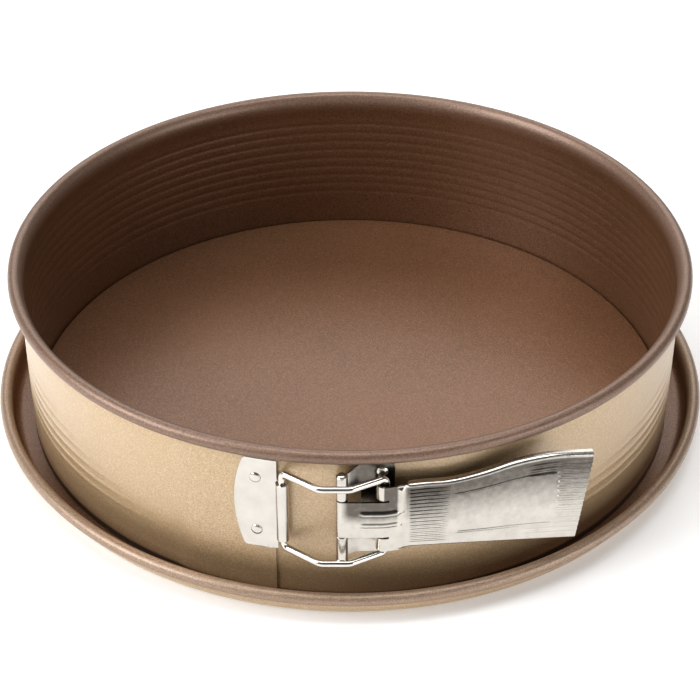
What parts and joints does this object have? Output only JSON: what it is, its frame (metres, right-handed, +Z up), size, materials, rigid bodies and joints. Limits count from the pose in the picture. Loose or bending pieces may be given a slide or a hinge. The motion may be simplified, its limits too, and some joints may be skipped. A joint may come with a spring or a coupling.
{
  "type": "springform pan",
  "caption": "Round springform baking pan with a raised-floor base plate, a ribbed side band that opens and lifts off, and an over-centre wire clasp.",
  "frame": {"origin": "centre of the underside of the base plate, on the surface that the pan stands on", "axes": "+Z up along the pan's axis, the clasp is at -Y, +X to the right when facing the clasp"},
  "size_m": [0.2874, 0.2874, 0.0693],
  "materials": {
    "base_coating": "satin non-stick coating, dark mocha brown with a fine metallic fleck",
    "band_coating": "satin non-stick coating, champagne gold outside and mocha brown inside, with a fine metallic fleck",
    "plated_steel": "bright nickel-plated sheet steel",
    "plated_wire": "bright nickel-plated wire"
  },
  "bodies": {
    "base": {"base_plate": "base_coating"},
    "ring": {"side_band_right": "band_coating", "lever_bracket": "plated_steel", "bracket_rivet_upper": "plated_steel", "bracket_rivet_lower": "plated_steel", "pivot_pin": "plated_wire"},
    "ring_left": {"side_band_left": "band_coating", "hinge_plate": "plated_steel", "hinge_rivet_upper": "plated_steel", "hinge_rivet_lower": "plated_steel"},
    "bail": {"clasp_bail": "plated_wire"},
    "lever": {"clasp_lever": "plated_steel"}
  },
  "joints": [
    {"name": "ring_lift", "type": "slide", "parent": "base", "child": "ring", "axis": [0, 0, 1], "range_m": [0, 0.08]},
    {"name": "lever_swing", "type": "hinge", "parent": "ring", "child": "lever", "pos_m": [-0.0028, -0.1355, 0.0433], "axis": [0, 0, -1], "range_deg": [0, 80]},
    {"name": "ring_open", "type": "hinge", "parent": "ring", "child": "ring_left", "pos_m": [0, 0.1351, 0.035], "axis": [0, 0, -1], "range_deg": [0, 0.8665]},
    {"name": "bail_swing", "type": "hinge", "parent": "ring_left", "child": "bail", "pos_m": [-0.0234, -0.1319, 0.0433], "axis": [0, 0, -1], "range_deg": [0, 30.63]}
  ],
  "couplings": [
    {"joint": "ring_open", "follows": "lever_swing", "ratio": 0.01083},
    {"joint": "bail_swing", "follows": "lever_swing", "ratio": 0.38284}
  ]
}
